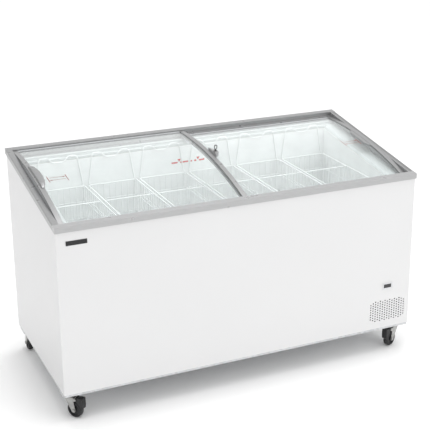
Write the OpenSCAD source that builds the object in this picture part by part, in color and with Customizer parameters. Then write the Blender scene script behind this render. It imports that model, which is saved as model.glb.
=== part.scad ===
// Sloped glass-top chest freezer for retail display, with two sliding curved lids,
// six lift-out wire baskets and four swivel castors. Millimetres, +Z up, +Y to the back,
// origin on the floor under the middle of the cabinet.

/* [Cabinet] */
// Width across the painted body
body_w = 1496; // [1400:2:1600]
// Depth across the painted body
body_d = 684; // [684:2:700]
// Height of the lower edge of the body panels above the floor
panel_bottom = 114; // [112:1:116]
// Thickness of the painted sheet
sheet = 1; // [0.8:0.1:1.2]
// Foam thickness in the four walls
wall_foam = 65; // [60:1:68]
// Height of the inside floor above the floor
liner_floor = 184; // [180:1:190]
// Height of the inside step over the machine compartment
liner_step = 424; // [420:1:430]

/* [Lid frame] */
// Overhang of the lid frame past the body, each side
frame_overhang = 4; // [3:0.5:5]
// Height of the lid frame's outer lip
lip_h = 21; // [18:1:24]
// Height of the frame's front top edge
front_top = 774; // [770:1:778]
// Height of the frame's back top edge
back_top = 882; // [878:1:886]
// Width of the side cheeks
cheek_w = 24; // [22:1:26]

/* [Lids] */
// Outer radius of the upper curved glass
glass_r = 1830; // [1800:5:1860]
// Rise of the upper glass above the frame plane at mid depth
glass_rise = 20; // [18:1:22]
// Radial step from the upper glass down to the lower glass
lid_step = 14; // [14:0.5:15]
// Glass thickness
glass_t = 4; // [4:0.5:4]
// Width of the bars at the lid ends
bar_w = 20; // [18:1:22]

/* [Baskets] */
// Number of baskets side by side
basket_count = 6; // [6:1:6]
// Outer width of one basket
basket_w = 212; // [206:1:214]
// Wire thickness
wire = 4; // [3:0.5:4]
// Height of the basket floor
basket_floor = 489; // [480:1:500]
// Height of the basket rim
basket_rim = 709; // [700:1:715]

/* [Castors] */
// Wheel diameter
wheel_d = 64; // [60:1:64]
// Wheel width
wheel_w = 22; // [18:1:24]
// Distance from the swivel axis back to the wheel axle
castor_trail = 24; // [20:1:26]

/* [Hidden] */

// Room between parts that slide or lift past each other
gap = 0.3;
// Room left between fixed parts that meet along a long edge
joint = 0.1;
// Far larger than any part, for cutting with half-spaces
far = 4000;

// Cabinet outline
bx = body_w / 2;
by = body_d / 2;
fx = bx + frame_overhang;
fy = by + frame_overhang + 1.5;
slope = atan((back_top - front_top) / (2 * fy));
slope_len = sqrt(pow(2 * fy, 2) + pow(back_top - front_top, 2));
mid_v = slope_len / 2;
front_panel_top = front_top - lip_h;
tuck_x = bx - sheet - 0.2;
tuck_y = by - sheet - 0.2;
cheek_x = fx - cheek_w;

// Liner box, measured on its inside faces
liner_t = 1;
liner_x = bx - sheet - wall_foam - 10;
liner_y0 = -by + sheet + wall_foam;
liner_y1 = by - sheet - wall_foam + 2;
foam_top_w = -50;
room_under_frame = 0.1;
machine_x = bx - 223;
step_x = machine_x - 70;
machine_top = liner_step - 70;

// Drain in the tank floor
drain_x = -bx + 130;
drain_y = by - 90;

// Lid frame section, in slope coordinates: v back along the slope, w up from it
flange_v = 26;
upper_ledge_v = 38;
lower_ledge_v = 49;
upper_ledge_w = -16;
lower_ledge_w = -28.5;

// Lid arcs share one centre line
arc_w = glass_rise - glass_r;
bar_over = 4;
bar_under = 1.5;
glass_inset = 2;
upper_half = mid_v - flange_v - 1;
lower_half = mid_v - upper_ledge_v - 1;
runner_v = 10;
lid_gap = 0.5;
lid_end_x = cheek_x - lid_gap;
handle_v0 = 270;
handle_v1 = 470;

// Lock, on the inner bar of the upper lid
lock_x = bar_w / 2 + 13;
lock_v = 372;

// Baskets
basket_pitch = 222.6;
basket_y0 = liner_y0 + 5;
basket_y1 = liner_y1 - 12;
divider_y = basket_y1 - 0.4 * (basket_y1 - basket_y0);
slab_gap = 0.2;
loop_top = 836;
hook_d = 10;
ledge_front = 740;
ledge_back = 832;

// Castors
castor_h = 98;
plate_t = 6;
axle_z = wheel_d / 2;
axle_r = 4;
kingpin_r = 5;
running = 0.05;
castor_x = bx - 35;
castor_front_y = -by + 54;
castor_back_y = by - 52;
turn_fl = -52;
turn_fr = 204;
turn_back = 90;
pedal_pin_x = 31;
pedal_pin_z = 76;
pedal_pin_r = 2.5;

white = [0.94, 0.94, 0.94];
silver = [0.74, 0.75, 0.76];
clear = [0.85, 0.93, 0.93, 0.35];

// Height of the plane w at depth y
function plane_z(y, w) = front_top + (y + fy) * tan(slope) + w / cos(slope);

// Depth and height of a point given in slope coordinates
function slope_y(v, w) = -fy + v * cos(slope) - w * sin(slope);
function slope_z(v, w) = front_top + v * sin(slope) + w * cos(slope);
function slope_pt(v, w) = [slope_y(v, w), slope_z(v, w)];

// Angle of an arc point at distance v from the front of the slope
function arc_angle(v, r) = asin((v - mid_v) / r);

// Children drawn in slope coordinates (x, v, w)
module sloped() {
  translate([0, -fy, front_top]) rotate([slope, 0, 0]) children();
}

// A (y, z) profile run along X from x0 to x1
module along_x(x0, x1) {
  translate([x0, 0, 0]) rotate([90, 0, 90]) linear_extrude(x1 - x0) children();
}

// An (x, z) profile run along Y from y0 to y1
module along_y(y0, y1) {
  translate([0, y1, 0]) rotate([90, 0, 0]) linear_extrude(y1 - y0) children();
}

// A box from its low corner to its high corner
module block(low, high) {
  translate(low) cube(high - low);
}

// A curved band about the lid arc's centre line, drawn in slope coordinates
module arc_band(x0, x1, r_out, r_in, half) {
  sloped() along_x(x0, x1) intersection() {
    translate([mid_v, arc_w]) difference() {
      circle(r_out, $fn = 720);
      circle(r_in, $fn = 720);
    }
    translate([mid_v - half, -60]) square([2 * half, 120]);
  }
}

// Children at radius r on the line square to the upper glass at slope distance v
module on_arc(x, v, r) {
  sloped() translate([x, mid_v, arc_w]) rotate([-arc_angle(v, glass_r), 0, 0])
    translate([0, 0, r]) children();
}

// A run of pipe through the points, with a swaged joint at every bend
module pipe_run(points, r) {
  joint_scale = 1.3;
  for (i = [0 : len(points) - 2]) {
    d = points[i + 1] - points[i];
    length = norm(d);
    translate(points[i])
      rotate([0, acos(d[2] / length), atan2(d[1], d[0])])
        cylinder(h = length, r = r, $fn = 24);
  }
  for (i = [1 : 1 : len(points) - 2]) translate(points[i]) sphere(r * joint_scale, $fn = 24);
}

// ---------- painted body ----------

vent_pitch_x = 11.4;
vent_pitch_z = 10.8;
vent_r = 3;
vent_columns = 15;
vent_x = 644;
vent_z = 191.5;
display_x = 640;
display_z = 300;
display_hole = [40, 22];
display_flange = [48, 30];
window_w = 34.8;
window_h = 15.8;

// Number of holes in column i of the vent: short ends, then 8 and 9 in turn
function vent_rows(i) = (i == 0 || i == vent_columns - 1) ? 7 : (i % 2 == 1 ? 8 : 9);

module vent_holes() {
  for (i = [0 : vent_columns - 1])
    for (j = [0 : vent_rows(i) - 1])
      translate([
        vent_x + (i - (vent_columns - 1) / 2) * vent_pitch_x,
        vent_z + (j - (vent_rows(i) - 1) / 2) * vent_pitch_z
      ]) circle(vent_r, $fn = 24);
}

module front_panel() {
  color(white) along_y(-by, -by + sheet) difference() {
    translate([-bx, panel_bottom]) square([body_w, front_panel_top - panel_bottom]);
    vent_holes();
    translate([display_x, display_z]) square(display_hole, center = true);
  }
}

// Side sheet, cut to the slope along its top
module side_panel(x0) {
  color(white) along_x(x0, x0 + sheet) polygon([
    [-by + sheet, panel_bottom], [by - sheet, panel_bottom],
    [by - sheet, plane_z(by - sheet, -lip_h)], [-by + sheet, plane_z(-by + sheet, -lip_h)]
  ]);
}
module left_side_panel() { side_panel(-bx); }
module right_side_panel() { side_panel(bx - sheet); }

grille_x0 = machine_x + 14;
grille_x1 = bx - 16;
grille_z0 = panel_bottom + 22;
grille_z1 = machine_top - 14;

module back_panel() {
  rim = 8;
  color(white) along_y(by - sheet, by) difference() {
    translate([-bx, panel_bottom])
      square([body_w, plane_z(by - sheet, -lip_h) - joint - panel_bottom]);
    translate([grille_x0 + rim, grille_z0 + rim])
      square([grille_x1 - grille_x0 - 2 * rim, grille_z1 - grille_z0 - 2 * rim]);
  }
}

module rear_grille() {
  slot_h = 5;
  slot_pitch = 11;
  slots = floor((grille_z1 - grille_z0 - 30) / slot_pitch);
  slot_w = (grille_x1 - grille_x0 - 50) / 2;
  color(white) along_y(by, by + 1.5) difference() {
    translate([grille_x0, grille_z0]) square([grille_x1 - grille_x0, grille_z1 - grille_z0]);
    for (i = [0 : slots - 1])
      for (side = [0, 1])
        translate([grille_x0 + 18 + side * (slot_w + 14), grille_z0 + 18 + i * slot_pitch])
          square([slot_w, slot_h]);
  }
}

// Folded steel tray under the cabinet: a plate with a rail all round
module base_pan() {
  rail_h = 10;
  rail_w = 40;
  z0 = panel_bottom - rail_h;
  inset = 2;
  color(silver) difference() {
    block([-bx + inset, -by + inset, z0], [bx - inset, by - inset, panel_bottom]);
    block([-bx + rail_w, -by + rail_w, z0 - 1], [bx - rail_w, by - rail_w, panel_bottom - 2]);
    translate([drain_x, drain_y, z0 - 1]) cylinder(h = rail_h + 2, r = 8, $fn = 48);
    for (x = [machine_x + 40 : 30 : bx - 50])
      block([x, -120, z0 - 1], [x + 12, 120, panel_bottom + 1]);
  }
}

// ---------- inner tank and insulation ----------

// Outline of the tank seen from the front, grown outwards by t
module tank_outline(t) {
  polygon([
    [-liner_x - t, liner_floor - t], [step_x + t, liner_floor - t],
    [step_x + t, liner_step - t], [liner_x + t, liner_step - t],
    [liner_x + t, far], [-liner_x - t, far]
  ]);
}

// Everything above the plane w, for cutting tops to the slope
module above_plane(w) {
  sloped() translate([-far, -far, w]) cube([2 * far, 3 * far, 3 * far]);
}

module inner_liner() {
  color(white) difference() {
    along_y(liner_y0 - liner_t, liner_y1 + liner_t) tank_outline(liner_t);
    along_y(liner_y0, liner_y1) tank_outline(0);
    above_plane(foam_top_w - room_under_frame);
    translate([drain_x, drain_y, liner_floor - 5]) cylinder(h = 10, r = 12, $fn = 48);
  }
}

// Evaporator loops around the tank
evap_r = 4;
evap_levels = [480, 535, 590, 645];
evap_off = liner_t + 1.6 + evap_r;

module evap_grooves() {
  room = 0.6;
  for (z = evap_levels)
    difference() {
      block([-liner_x - evap_off - evap_r - room, liner_y0 - evap_off - evap_r - room, z - evap_r - room],
            [liner_x + evap_off + evap_r + room, liner_y1 + evap_off + evap_r + room, z + evap_r + room]);
      block([-liner_x, liner_y0, z - 20], [liner_x, liner_y1, z + 20]);
    }
}

module evaporator_tube() {
  bend = 8;
  x = liner_x + evap_off;
  y0 = liner_y0 - evap_off;
  y1 = liner_y1 + evap_off;
  color([0.72, 0.45, 0.3]) for (z = evap_levels) {
    for (s = [-1, 1])
      translate([s * x, y0 + bend, z]) rotate([-90, 0, 0])
        cylinder(h = y1 - y0 - 2 * bend, r = evap_r, $fn = 24);
    for (y = [y0, y1])
      translate([-x + bend, y, z]) rotate([0, 90, 0])
        cylinder(h = 2 * x - 2 * bend, r = evap_r, $fn = 24);
    for (c = [[x - bend, y1 - bend, 0], [-x + bend, y1 - bend, 90],
              [-x + bend, y0 + bend, 180], [x - bend, y0 + bend, 270]])
      translate([c[0], c[1], z]) rotate([0, 0, c[2]])
        rotate_extrude(angle = 90, $fn = 72) translate([bend, 0]) circle(evap_r, $fn = 24);
  }
}

// Foam wall along X between two depths, its top cut to the slope
module foam_wall(x0, x1, y0, y1, z0) {
  along_x(x0, x1) polygon([
    [y0, z0], [y1, z0], [y1, plane_z(y1, foam_top_w - room_under_frame)],
    [y0, plane_z(y0, foam_top_w - room_under_frame)]
  ]);
}

module insulation_foam() {
  join = 0.4;
  x_out = bx - sheet - 0.2;
  y_out = by - sheet - 0.2;
  x_in = liner_x + liner_t;
  y_in0 = liner_y0 - liner_t;
  y_in1 = liner_y1 + liner_t;
  floor_top = liner_floor - liner_t;
  step_under = liner_step - liner_t;
  color([0.93, 0.88, 0.7]) {
    difference() {
      block([-x_out, -y_out, panel_bottom], [machine_x, y_out, floor_top]);
      translate([drain_x, drain_y, panel_bottom - 1])
        cylinder(h = floor_top, r = 14, $fn = 48);
    }
    block([step_x + liner_t, y_in0, floor_top + join], [machine_x, y_in1, machine_top]);
    block([step_x + liner_t, y_in0, machine_top + join], [x_out, y_in1, step_under]);
    difference() {
      union() {
        foam_wall(-x_out, machine_x, -y_out, y_in0 - join, floor_top + join);
        foam_wall(-x_out, machine_x, y_in1 + join, y_out, floor_top + join);
        foam_wall(machine_x + join, x_out, -y_out, y_in0 - join, machine_top);
        foam_wall(machine_x + join, x_out, y_in1 + join, y_out, machine_top);
        foam_wall(-x_out, -x_in, y_in0, y_in1, floor_top + join);
        foam_wall(x_in, x_out, y_in0, y_in1, step_under + join);
      }
      evap_grooves();
    }
  }
}

// Flanged plug in the tank floor, with a finger rib across its top
module drain_plug() {
  flange_t = 4;
  stem_l = 16;
  rib = [24, 3, 9];
  color("white") translate([drain_x, drain_y, liner_floor]) union() {
    translate([0, 0, joint]) cylinder(h = flange_t, r = 16, $fn = 48);
    translate([0, 0, -stem_l]) cylinder(h = stem_l + 1, r = 10, $fn = 48);
    translate([-rib[0] / 2, -rib[1] / 2, flange_t - 1]) cube(rib);
  }
}

// Drain tube from the tank floor down through the base, with a hose end
module drain_spout() {
  hose_r = 7.5;
  tube_r = 7;
  z1 = liner_floor - 18;
  z_shoulder = panel_bottom - 10;
  z0 = z_shoulder - 18;
  color([0.85, 0.85, 0.85]) translate([drain_x, drain_y, 0]) difference() {
    union() {
      translate([0, 0, z0]) cylinder(h = z_shoulder - z0, r = hose_r, $fn = 48);
      translate([0, 0, z_shoulder - 1]) cylinder(h = z1 - z_shoulder + 1, r = tube_r, $fn = 48);
      translate([0, 0, z1 - 4]) cylinder(h = 4, r = 13, $fn = 48);
    }
    translate([0, 0, z0 - 1]) cylinder(h = z1 - z0 + 2, r = 5.5, $fn = 48);
  }
}

// ---------- lid frame ----------

// Two stepped tracks, the upper one outboard, in slope coordinates from v = 0
module track_steps() {
  polygon([
    [flange_v - 1, foam_top_w], [lower_ledge_v, foam_top_w], [lower_ledge_v, lower_ledge_w],
    [upper_ledge_v, lower_ledge_w], [upper_ledge_v, upper_ledge_w], [flange_v - 1, upper_ledge_w]
  ]);
}

// Each rail has an outer lip and flange, a tuck inside the panels, and the lid tracks
module frame_front_rail() {
  color(silver) union() {
    along_x(-fx, fx) polygon([
      [-fy, front_panel_top], slope_pt(0, 0), slope_pt(flange_v, 0), slope_pt(flange_v, -lip_h),
      [-by, plane_z(-by, -lip_h)], [-by, front_panel_top]
    ]);
    along_x(-tuck_x, tuck_x) polygon([
      [-tuck_y, plane_z(-tuck_y, 1 - lip_h)], slope_pt(flange_v, 1 - lip_h),
      slope_pt(flange_v, foam_top_w), [-tuck_y, plane_z(-tuck_y, foam_top_w)]
    ]);
    sloped() along_x(-cheek_x, cheek_x) track_steps();
  }
}

module frame_back_rail() {
  inner_v = slope_len - flange_v;
  color(silver) union() {
    along_x(-fx, fx) polygon([
      [fy, back_top - lip_h], [fy, back_top], slope_pt(inner_v, 0), slope_pt(inner_v, -lip_h)
    ]);
    along_x(-tuck_x, tuck_x) polygon([
      [tuck_y, plane_z(tuck_y, 1 - lip_h)], slope_pt(inner_v, 1 - lip_h),
      slope_pt(inner_v, foam_top_w), [tuck_y, plane_z(tuck_y, foam_top_w)]
    ]);
    sloped() translate([0, slope_len, 0]) mirror([0, 1, 0])
      along_x(-cheek_x, cheek_x) track_steps();
  }
}

// Side cheek between the rails, with a soft rounded top edge
module cheek() {
  round = 3;
  sloped() along_y(flange_v + joint, slope_len - flange_v - joint) union() {
    difference() {
      polygon([
        [cheek_x, foam_top_w], [cheek_x, 0], [fx, 0], [fx, -lip_h],
        [tuck_x, -lip_h], [tuck_x, foam_top_w]
      ]);
      translate([fx - round, -round]) square(round + 1);
    }
    translate([fx - round, -round]) circle(round, $fn = 48);
  }
}
module frame_right_cheek() { color(silver) cheek(); }
module frame_left_cheek() { color(silver) mirror([1, 0, 0]) cheek(); }

// Plastic strips that bridge the tank and the lid frame; basket loops hook on the ledges
module breaker_collar() {
  front_v = lower_ledge_v + gap;
  back_v = slope_len - lower_ledge_v - gap;
  end_x = cheek_x - joint;
  color(white) {
    along_x(-end_x, end_x) polygon([
      slope_pt(front_v, foam_top_w), [liner_y0, plane_z(liner_y0, foam_top_w)],
      [liner_y0, ledge_front], [liner_y0 - hook_d, ledge_front], slope_pt(front_v, -26.5)
    ]);
    along_x(-end_x, end_x) polygon([
      [liner_y1, plane_z(liner_y1, foam_top_w)], slope_pt(back_v, foam_top_w),
      slope_pt(back_v, lower_ledge_w), [liner_y1 + hook_d + 2, slope_z(back_v, lower_ledge_w) - 1],
      [liner_y1 + hook_d + 2, ledge_back], [liner_y1, ledge_back]
    ]);
    for (s = [-1, 1]) intersection() {
      sloped() along_y(0, slope_len) polygon([
        [s * end_x, foam_top_w], [s * end_x, -33], [s * (liner_x + 8), -41],
        [s * liner_x, foam_top_w]
      ]);
      block([-fx, liner_y0 + joint, 0], [fx, liner_y1 - joint, far]);
    }
  }
}

// ---------- badge, display and controls ----------

badge_x0 = -712;
badge_w = 79;
badge_h = 17.4;
badge_t = 1.2;
badge_z = 709;

module badge_plate() {
  color([0.03, 0.03, 0.03]) along_y(-by - badge_t, -by)
    translate([badge_x0, badge_z - badge_h / 2]) square([badge_w, badge_h]);
}

// A block about the display's middle, size [width, height], between two depths
module display_block(size, y0, y1) {
  along_y(y0, y1) translate([display_x, display_z]) square(size, center = true);
}

// Flange on the panel, a socket behind it and a pocket for the window
module display_bezel() {
  flange_t = 1.6;
  socket_d = 22;
  pocket = [window_w + 0.2, window_h + 0.2];
  color([0.85, 0.86, 0.87]) difference() {
    union() {
      display_block(display_flange, -by - flange_t, -by);
      display_block(display_hole - [1, 1], -by, -by + socket_d);
    }
    display_block(pocket, -by - flange_t - 1, -by + socket_d - 2);
  }
}

module display_window() {
  color([0.05, 0.05, 0.06]) display_block([window_w, window_h], -by - 1.2, -by + 2);
}

// Sealed box for the controller, behind the display
module controller_box() {
  wall = 3;
  box_d = 50;
  y0 = -by + 23;
  low = [display_x - 37, y0, display_z - 17];
  high = [display_x + 37, y0 + box_d, display_z + 20];
  color([0.2, 0.2, 0.21]) difference() {
    block(low, high);
    block(low + [wall, wall, wall], high - [wall, wall, wall]);
  }
}

// ---------- refrigeration unit ----------

comp_x = 632;
comp_y = 150;
comp_z = panel_bottom + 22;
comp_r = 72;
comp_h = 150;

comp_base = [172, 120, 8];

// Welded shell with a seam flange, on its mounting plate
module compressor() {
  chamfer = 14;
  dome = 26;
  seam = 6;
  seam_z = 70;
  color([0.1, 0.1, 0.11]) translate([comp_x, comp_y, comp_z]) union() {
    rotate_extrude($fn = 96) polygon([
      [0, 0], [comp_r - chamfer, 0], [comp_r, chamfer], [comp_r, seam_z],
      [comp_r + seam, seam_z], [comp_r + seam, seam_z + seam], [comp_r, seam_z + seam],
      [comp_r, comp_h - dome], [comp_r - dome, comp_h], [0, comp_h]
    ]);
    translate([-comp_base[0] / 2, -comp_base[1] / 2, -comp_base[2]]) cube(comp_base);
  }
}

module compressor_feet() {
  foot_r = 9;
  inset = 10;
  color([0.15, 0.15, 0.15])
    for (x = [-1, 1] * (comp_base[0] / 2 - inset), y = [-1, 1] * (comp_base[1] / 2 - inset))
      translate([comp_x + x, comp_y + y, panel_bottom])
        cylinder(h = comp_z - comp_base[2] - panel_bottom - joint, r = foot_r, $fn = 48);
}

module terminal_box() {
  size = [70, 37, 46];
  color([0.12, 0.12, 0.12])
    translate([comp_x - size[0] / 2, comp_y - comp_r - size[1] + 1, comp_z + 20]) cube(size);
}

coil_y0 = -320;
coil_y1 = -250;
coil_x0 = machine_x + 20;
coil_x1 = bx - 28;
coil_z0 = panel_bottom + 4;
coil_z1 = panel_bottom + 160;
coil_rise = 34;

// Finned block: rows of tube through thin plates
module condenser_coil() {
  tube_r = 4;
  color([0.12, 0.12, 0.13]) union() {
    for (x = [coil_x0 + 8 : 12 : coil_x1 - 8])
      block([x, coil_y0 + 6, coil_z0], [x + 1, coil_y1 - 6, coil_z1]);
    for (z = [coil_z0 + 20 : coil_rise : coil_z1 - 10], y = [coil_y0 + 22, coil_y1 - 22])
      translate([coil_x0, y, z]) rotate([0, 90, 0])
        cylinder(h = coil_x1 - coil_x0, r = tube_r, $fn = 24);
    for (x = [coil_x0, coil_x1 - 2])
      block([x, coil_y0, coil_z0 - 4], [x + 2, coil_y1, coil_z1 + 6]);
  }
}

fan_x = 636;
fan_y = -200;
fan_z = panel_bottom + 100;

fan_shaft_r = 3;

// Motor can with its shaft, hung on a strap between two legs
module fan_motor() {
  can_r = 24;
  can_l = 42;
  can_y = fan_y + 12;
  strap_y = can_y + 32;
  strap_t = 3;
  strap_h = 12;
  leg_x = 78;
  leg_w = 8;
  color([0.6, 0.6, 0.62]) union() {
    translate([fan_x, can_y, fan_z]) rotate([-90, 0, 0]) cylinder(h = can_l, r = can_r, $fn = 64);
    translate([fan_x - leg_x - 2, strap_y, fan_z - strap_h / 2])
      cube([2 * leg_x + 4, strap_t, strap_h]);
    for (s = [-1, 1])
      translate([fan_x + s * leg_x - leg_w / 2, strap_y - strap_t, panel_bottom])
        cube([leg_w, strap_t, fan_z + strap_h / 2 - panel_bottom]);
    translate([fan_x, fan_y - 6, fan_z]) rotate([-90, 0, 0])
      cylinder(h = 19, r = fan_shaft_r, $fn = 32);
  }
}

module fan_blades() {
  blades = 5;
  pitch = 28;
  hub_r = 16;
  hub_l = 16;
  blade = [56, 32, 1.6];
  color([0.75, 0.76, 0.78]) translate([fan_x, fan_y, fan_z]) rotate([90, 0, 0]) difference() {
    union() {
      translate([0, 0, -hub_l / 2]) cylinder(h = hub_l, r = hub_r, $fn = 64);
      for (i = [0 : blades - 1]) rotate([0, 0, i * 360 / blades]) rotate([pitch, 0, 0])
        translate([hub_r - 4, -blade[1] / 2, -blade[2] / 2]) cube(blade);
    }
    translate([0, 0, -hub_l]) cylinder(h = 2 * hub_l, r = fan_shaft_r + running, $fn = 32);
  }
}

drier_x = bx - 32;
drier_y = 20;

module filter_drier() {
  body_r = 10;
  end_r = 4;
  end_h = 10;
  body_h = 90;
  color([0.75, 0.48, 0.3]) translate([drier_x, drier_y, panel_bottom + 60]) union() {
    cylinder(h = body_h, r = body_r, $fn = 48);
    translate([0, 0, body_h]) cylinder(h = end_h, r1 = body_r, r2 = end_r, $fn = 48);
    translate([0, 0, -end_h]) cylinder(h = end_h, r1 = end_r, r2 = body_r, $fn = 48);
  }
}

module refrigerant_pipes() {
  top_tube_z = coil_z0 + 20 + 3 * coil_rise;
  low_tube_z = coil_z0 + 20;
  tube_y = coil_y1 - 22;
  left_x = machine_x + 10;
  right_x = coil_x1 + 9;
  color([0.75, 0.48, 0.3]) {
    // discharge line: compressor to the condenser
    pipe_run([
      [comp_x - 44, comp_y - 50, top_tube_z], [left_x, comp_y - 50, top_tube_z],
      [left_x, tube_y, top_tube_z], [coil_x0 + 1, tube_y, top_tube_z]
    ], 3);
    // liquid line: condenser to the drier
    pipe_run([
      [coil_x1 - 1, tube_y, low_tube_z], [right_x, tube_y, low_tube_z],
      [right_x, drier_y, low_tube_z], [drier_x, drier_y, low_tube_z],
      [drier_x, drier_y, panel_bottom + 51]
    ], 3);
    // suction line: out of the foam above and into the compressor
    pipe_run([
      [comp_x + 40, comp_y + 50, comp_z + 110], [comp_x + 40, comp_y + comp_r + 24, comp_z + 110],
      [comp_x + 40, comp_y + comp_r + 24, machine_top]
    ], 4);
  }
}

module cover_screws() {
  color(silver) for (x = [grille_x0 + 8, grille_x1 - 8], z = [grille_z0 + 8, grille_z1 - 8])
    translate([x, by + 1.5, z]) rotate([-90, 0, 0]) cylinder(h = 2, r = 4, $fn = 32);
}

// ---------- upper lid ----------

module lid_glass(x0, x1, r, half) {
  arc_band(x0, x1, r, r - glass_t, half);
}

// Curved bar that grips the glass edge in a slot
module lid_bar(x0, x1, r, half, slot_x0, slot_x1) {
  difference() {
    arc_band(x0, x1, r + bar_over, r - glass_t - bar_under, half);
    arc_band(slot_x0, slot_x1, r, r - glass_t, half + 1);
  }
}

grip = 12;

module upper_lid_glass() {
  color(clear) lid_glass(-lid_end_x + bar_w - grip, bar_w / 2 - bar_w + grip,
                         glass_r, upper_half - glass_inset);
}
module upper_lid_left_bar() {
  color(silver) lid_bar(-lid_end_x, -lid_end_x + bar_w, glass_r, upper_half,
                        -lid_end_x + bar_w - grip, -lid_end_x + bar_w + 1);
}
module upper_lid_right_bar() {
  color(silver) lid_bar(-bar_w / 2, bar_w / 2, glass_r, upper_half,
                        -bar_w / 2 - 1, -bar_w / 2 + grip);
}

// Strips along the front and back edges of a lid, between its bars
module lid_runners(x0, x1, v0, w0, w1, r, half) {
  color([0.68, 0.69, 0.7]) difference() {
    sloped() for (v = [v0, slope_len - v0 - runner_v])
      block([x0, v, w0], [x1, v + runner_v, w1]);
    arc_band(x0 - 1, x1 + 1, r, r - glass_t, half);
  }
}

module upper_lid_runners() {
  lid_runners(-lid_end_x + bar_w, bar_w / 2 - bar_w, flange_v + 1, upper_ledge_w + gap, -5,
              glass_r, upper_half - glass_inset);
}

// Raised D-shaped grip on the left bar of the upper lid
module upper_lid_handle() {
  reach = 18;
  seat = 12;
  least = 4;
  rise = 9;
  r_base = glass_r + bar_over;
  a0 = arc_angle(handle_v0, r_base);
  a1 = arc_angle(handle_v1, r_base);
  edge = -lid_end_x + bar_w;
  segments = 8;
  segment_v = (handle_v1 - handle_v0) / segments;
  color(silver) sloped() translate([0, mid_v, arc_w]) intersection() {
    along_x(edge - seat, edge + reach) difference() {
      circle(r_base + rise, $fn = 720);
      circle(r_base + joint, $fn = 720);
    }
    union() {
      for (s = [0 : segments - 1]) {
        t = (s + 0.5) / segments;
        out = (reach + least) * pow(sin(180 * t), 0.6) - least;
        rotate([-(a0 + (a1 - a0) * t), 0, 0])
          translate([edge - seat, -segment_v / 2 - 0.5, r_base - rise])
            cube([out + seat, segment_v + 1, 3 * rise]);
      }
    }
  }
}

barrel_r = 8;
barrel_top = glass_r + 15;
key_slot = [8, 2, 8];

// Angular housing beside the inner bar; its floor clears the lower lid
module lock_housing() {
  base = glass_r - glass_t - bar_under + 0.5;
  h = barrel_top - 2 - base;
  out = lock_x - bar_w / 2;
  color(silver) on_arc(bar_w / 2, lock_v, base) difference() {
    linear_extrude(h) polygon([
      [0, -42], [9, -24], [out + 8, -14], [out + 12, -5],
      [out + 12, 5], [out + 8, 14], [9, 24], [0, 42]
    ]);
    translate([out, 0, -1]) cylinder(h = h + 2, r = barrel_r + running, $fn = 64);
  }
}

// Lock barrel with its tongue underneath, in the space between the lids
tongue_r = glass_r - lid_step + bar_over + 0.5;
tongue_t = 3;

module lock_barrel() {
  neck_r = 6;
  tongue_l = 18;
  tongue_w = 8;
  h = barrel_top - tongue_r;
  color([0.75, 0.74, 0.72]) on_arc(lock_x, lock_v, tongue_r) difference() {
    union() {
      translate([0, 0, tongue_t]) cylinder(h = h - tongue_t, r = barrel_r, $fn = 64);
      cylinder(h = tongue_t + 0.2, r = neck_r, $fn = 64);
      translate([-tongue_l, -tongue_w / 2, 0]) cube([tongue_l, tongue_w, tongue_t]);
    }
    translate([-key_slot[0] / 2, -key_slot[1] / 2, h - key_slot[2]]) cube(key_slot + [0, 0, 1]);
  }
}

// Long oval of half width r, its ends' centres rise apart
module oval(r, rise) {
  circle(r, $fn = 48);
  translate([-r, 0]) square([2 * r, rise]);
  translate([0, rise]) circle(r, $fn = 48);
}

// Key in the barrel, standing on its blade, with a long open bow
module lock_key() {
  blade = key_slot - [0.4, 0.2, 0.2];
  top = barrel_top - tongue_r;
  bow_r = 7;
  bow_low = 11;
  bow_rise = 7;
  color([0.7, 0.69, 0.66]) on_arc(lock_x, lock_v, tongue_r) union() {
    translate([-blade[0] / 2, -blade[1] / 2, top - blade[2]])
      cube(blade + [0, 0, bow_low - bow_r + 1]);
    along_y(-blade[1] / 2, blade[1] / 2) translate([0, top + bow_low]) difference() {
      oval(bow_r, bow_rise);
      oval(bow_r - 3.2, bow_rise);
    }
  }
}

// ---------- lower lid ----------

lower_r = glass_r - lid_step;

module lower_lid_glass() {
  color(clear) lid_glass(-bar_w / 2 + bar_w - grip, lid_end_x - bar_w + grip,
                         lower_r, lower_half - glass_inset);
}
module lower_lid_left_bar() {
  color(silver) lid_bar(-bar_w / 2, bar_w / 2, lower_r, lower_half, bar_w / 2 - grip, bar_w / 2 + 1);
}
module lower_lid_right_bar() {
  color(silver) lid_bar(lid_end_x - bar_w, lid_end_x, lower_r, lower_half,
                        lid_end_x - bar_w - 1, lid_end_x - bar_w + grip);
}
module lower_lid_runners() {
  lid_runners(bar_w / 2, lid_end_x - bar_w, upper_ledge_v + 1, lower_ledge_w + gap, -18.5,
              lower_r, lower_half - glass_inset);
}

// Low tapered grip beside the outer bar, flush with the bar so the upper lid passes over it
module lower_lid_handle() {
  v0 = 284;
  v1 = 462;
  reach = 18;
  taper = 34;
  edge = lid_end_x - bar_w;
  color(silver) intersection() {
    arc_band(edge - reach, edge, lower_r + bar_over, lower_r + joint, lower_half);
    sloped() translate([0, 0, -30]) linear_extrude(80) polygon([
      [edge, v0], [edge - reach, v0 + taper], [edge - reach, v1 - taper], [edge, v1]
    ]);
  }
}

// Small post on a plate, fixed to the lower lid beside its inner bar
module lock_keeper() {
  plate = [24, 14, 2];
  post = [5, 10, bar_over + 3];
  color([0.6, 0.6, 0.6]) on_arc(lock_x, lock_v, lower_r) union() {
    translate([bar_w / 2 - lock_x, 6, joint]) cube(plate);
    translate([6, 8, joint]) cube(post);
  }
}

// ---------- baskets ----------

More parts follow.
